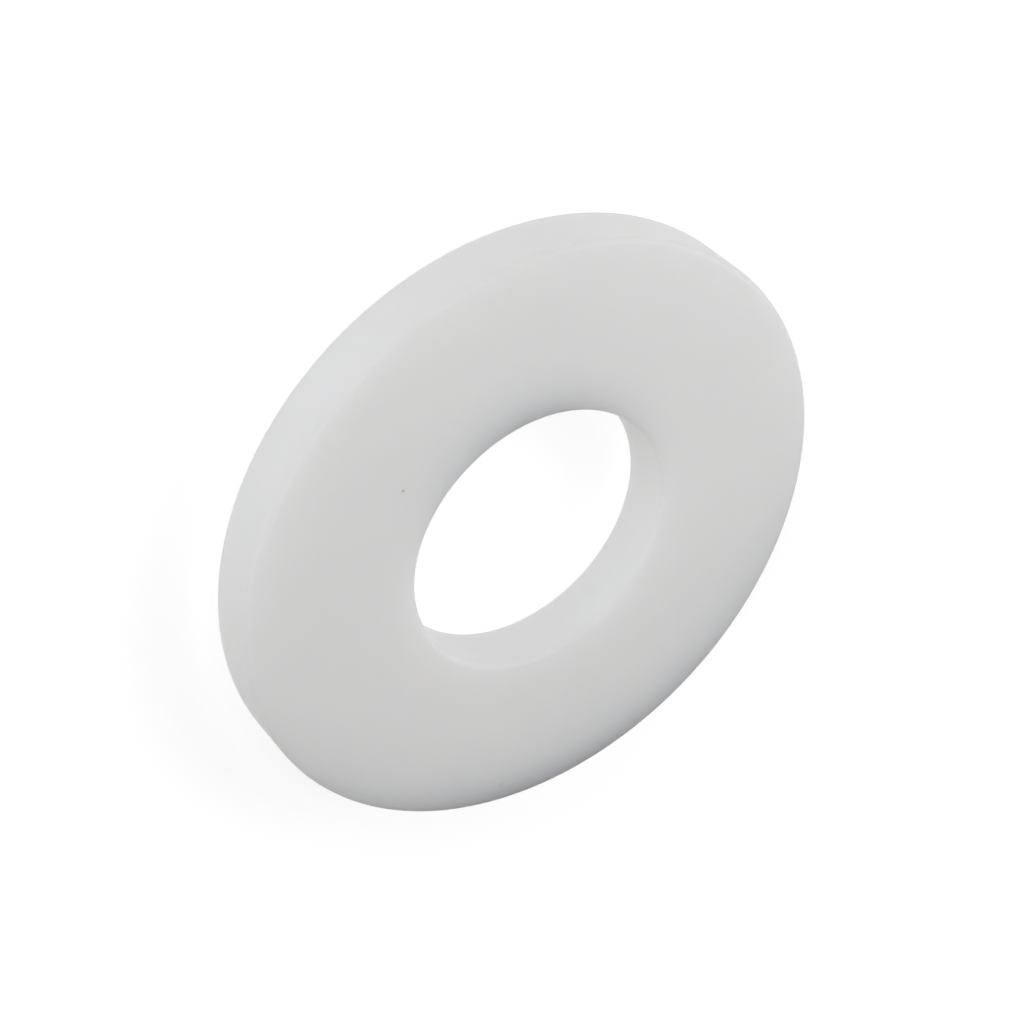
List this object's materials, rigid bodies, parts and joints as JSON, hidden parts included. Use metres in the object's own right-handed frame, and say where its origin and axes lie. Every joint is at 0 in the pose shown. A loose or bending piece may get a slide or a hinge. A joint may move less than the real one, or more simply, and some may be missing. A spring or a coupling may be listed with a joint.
{
  "type": "wear ring",
  "caption": "Flat round wear ring in smooth white plastic: two parallel faces, a straight rim, a wide straight central bore and small rounds on every edge.",
  "frame": {"origin": "centre of the ring on its back face, which it lies on", "axes": "+Z along the ring's axis, from the back face to the front face; X and Y are alike, because the ring is round"},
  "size_m": [0.024, 0.024, 0.0023],
  "materials": {
    "white_plastic": "smooth satin, slightly translucent milky white"
  },
  "bodies": {
    "root": {"wear_ring": "white_plastic"}
  },
  "joints": []
}
